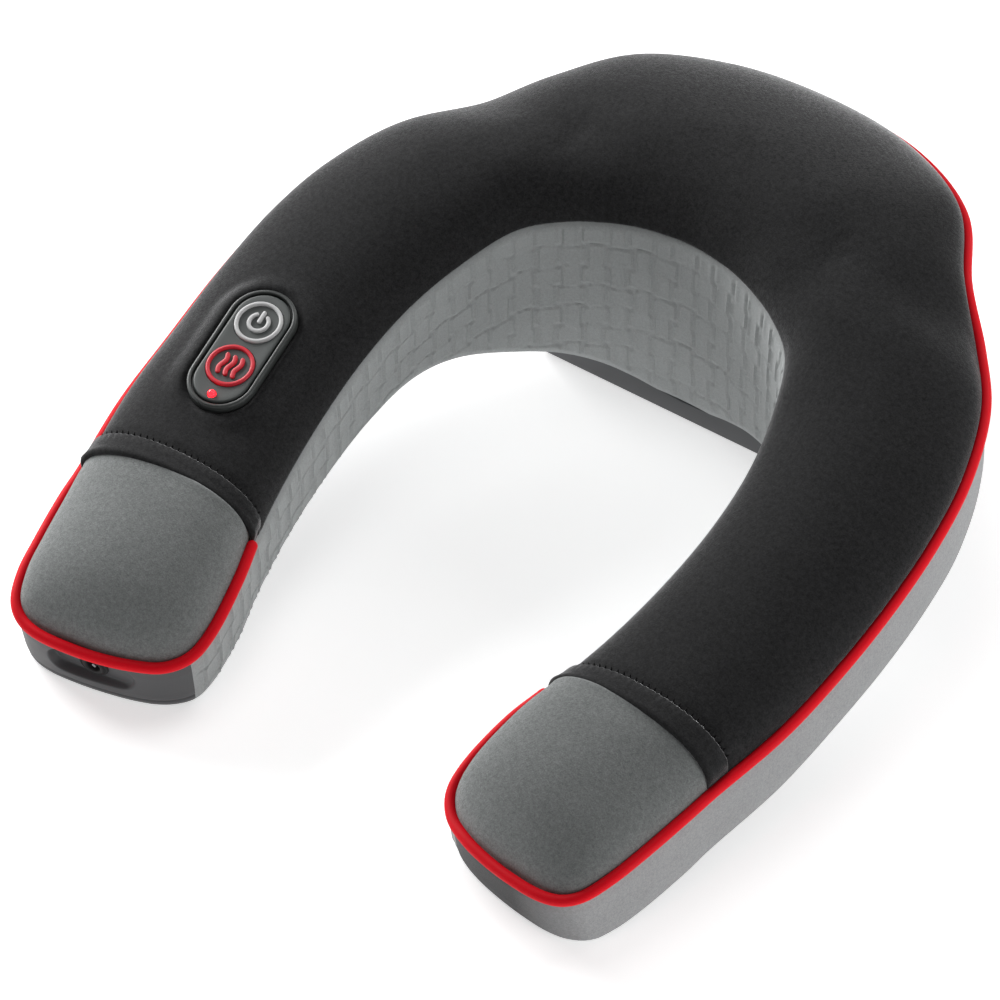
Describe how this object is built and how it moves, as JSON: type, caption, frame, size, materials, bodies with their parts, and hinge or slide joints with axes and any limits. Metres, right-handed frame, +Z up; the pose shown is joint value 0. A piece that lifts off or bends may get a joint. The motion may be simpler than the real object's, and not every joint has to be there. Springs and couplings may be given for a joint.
{
  "type": "shiatsu neck massager",
  "caption": "Horseshoe-shaped padded neck massager with kneading heads in its raised back, piped seams, two push buttons on one arm and a power inlet in one tip.",
  "frame": {"origin": "on the table, under the middle of the bounding box", "axes": "+Z up; +X across the neck opening, towards the arm without the control pod; +Y from the open end of the horseshoe towards its back"},
  "size_m": [0.3074, 0.3566, 0.116],
  "materials": {
    "black_fabric": "black knitted stretch fabric over a thin padding",
    "grey_fabric": "mid-grey knitted fabric",
    "light_fabric": "light grey plain fabric",
    "embossed_fabric": "grey fabric with an embossed basket weave pattern",
    "red_piping": "bright red corded piping",
    "dark_plastic": "dark grey moulded plastic",
    "grey_plastic": "grey moulded plastic",
    "red_plastic": "red printed button on grey plastic",
    "white_plastic": "light grey plastic",
    "black_rubber": "black rubber",
    "black_plastic": "black plastic",
    "foam": "soft open-cell foam",
    "steel": "plain steel",
    "brass": "machined brass",
    "node_rubber": "soft rubber over a moulded core",
    "circuit_board": "green circuit board",
    "led_red": "clear red lens",
    "heater_film": "amber film with a printed heating track"
  },
  "bodies": {
    "root": {"top_cover": "black_fabric", "left_hem": "black_fabric", "right_hem": "black_fabric", "left_end_pad": "grey_fabric", "right_end_pad": "grey_fabric", "piping": "red_piping", "inner_wall": "embossed_fabric", "outer_wall": "light_fabric", "right_end_face": "light_fabric", "left_end_cap": "dark_plastic", "dc_jack_collar": "black_plastic", "dc_jack_pin": "steel", "dc_jack_body": "dark_plastic", "left_arm_tray": "dark_plastic", "left_tip_foam": "foam", "left_arm_foam": "foam", "right_arm_tray": "dark_plastic", "right_tip_foam": "foam", "right_arm_foam": "foam", "rear_tray": "dark_plastic", "heater_pad": "heater_film", "rear_foam": "foam", "base_shell": "dark_plastic", "foot_1": "black_rubber", "foot_2": "black_rubber", "foot_3": "black_rubber", "foot_4": "black_rubber", "pod_bezel": "grey_plastic", "pod_faceplate": "grey_plastic", "pod_cup": "dark_plastic", "control_pcb": "circuit_board", "power_switch": "black_plastic", "heat_switch": "black_plastic", "led_lens": "led_red", "gearbox_lower": "grey_plastic", "gearbox_upper": "grey_plastic", "gearbox_screw_1": "steel", "gearbox_screw_2": "steel", "gearbox_screw_3": "steel", "gearbox_screw_4": "steel", "motor_can": "steel"},
    "power_button_body": {"power_button": "white_plastic"},
    "heat_button_body": {"heat_button": "red_plastic"},
    "drive_shaft": {"motor_shaft": "steel", "worm_left": "brass", "worm_right": "brass"},
    "head_left": {"worm_wheel_left": "white_plastic", "output_shaft_left": "steel", "head_disc_left": "grey_plastic", "node_left_front": "node_rubber", "node_left_back": "node_rubber"},
    "head_right": {"worm_wheel_right": "white_plastic", "output_shaft_right": "steel", "head_disc_right": "grey_plastic", "node_right_front": "node_rubber", "node_right_back": "node_rubber"}
  },
  "joints": [
    {"name": "head_right_spin", "type": "hinge", "parent": "root", "child": "head_right", "pos_m": [0.046, 0.10897, 0.0535], "axis": [0, 0, 1], "continuous": true},
    {"name": "head_left_spin", "type": "hinge", "parent": "root", "child": "head_left", "pos_m": [-0.046, 0.10897, 0.0535], "axis": [0, 0, 1], "continuous": true},
    {"name": "motor_spin", "type": "hinge", "parent": "root", "child": "drive_shaft", "pos_m": [0, 0.13297, 0.0535], "axis": [1, 0, 0], "continuous": true},
    {"name": "power_press", "type": "slide", "parent": "root", "child": "power_button_body", "axis": [-0.0249, 0.2422, -0.9699], "range_m": [0, 0.001], "stiffness_N_per_m": 600},
    {"name": "heat_press", "type": "slide", "parent": "root", "child": "heat_button_body", "axis": [-0.0249, 0.2422, -0.9699], "range_m": [0, 0.001], "stiffness_N_per_m": 600}
  ],
  "couplings": [
    {"joint": "head_left_spin", "follows": "head_right_spin", "ratio": -1},
    {"joint": "motor_spin", "follows": "head_right_spin", "ratio": 24}
  ]
}
